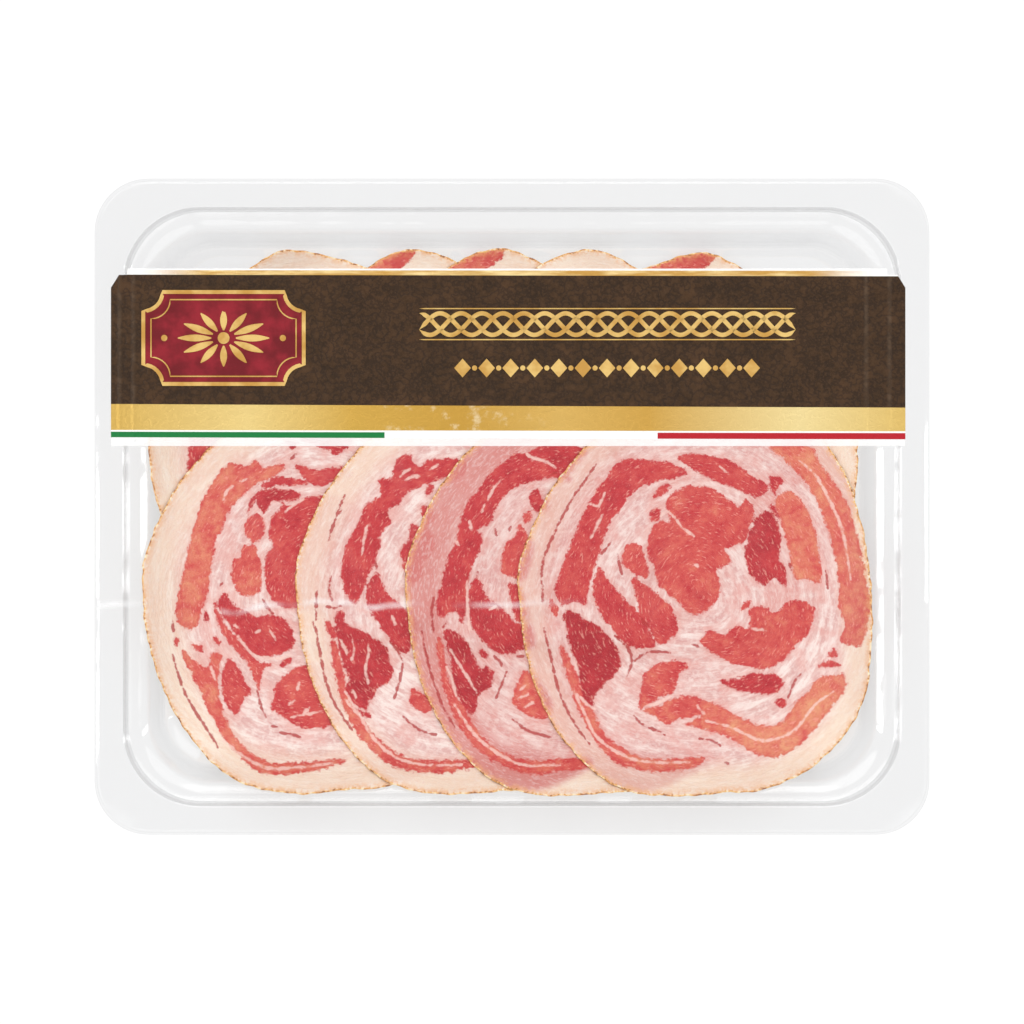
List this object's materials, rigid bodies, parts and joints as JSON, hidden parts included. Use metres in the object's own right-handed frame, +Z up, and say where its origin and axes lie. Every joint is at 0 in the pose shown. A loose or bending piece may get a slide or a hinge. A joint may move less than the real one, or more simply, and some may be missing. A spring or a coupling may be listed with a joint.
{
  "type": "pack of sliced pancetta",
  "caption": "Sealed clear tray of shingled rolled pancetta slices with a wide flange, a clear lid film and a dark printed label band across it.",
  "frame": {"origin": "on the surface that the tray stands on, under the middle of the flange's outline", "axes": "+Z up through the lid film, +X along the pack to the right as the label is seen upright, +Y to the back edge, which the label is nearer"},
  "size_m": [0.24, 0.1886, 0.0182],
  "materials": {
    "clear_tray": "clear, glossy, thermoformed",
    "clear_film": "clear, glossy, slightly slack",
    "printed_label": "satin print, dark brown with gold bands",
    "pancetta": "moist cured meat, red lean and pale fat"
  },
  "bodies": {
    "root": {"tray": "clear_tray", "slice_rear_1": "pancetta", "slice_rear_2": "pancetta", "slice_rear_3": "pancetta", "slice_rear_4": "pancetta", "slice_rear_5": "pancetta", "slice_front_1": "pancetta", "slice_front_2": "pancetta", "slice_front_3": "pancetta", "slice_front_4": "pancetta", "lid_film": "clear_film", "label": "printed_label"}
  },
  "joints": []
}
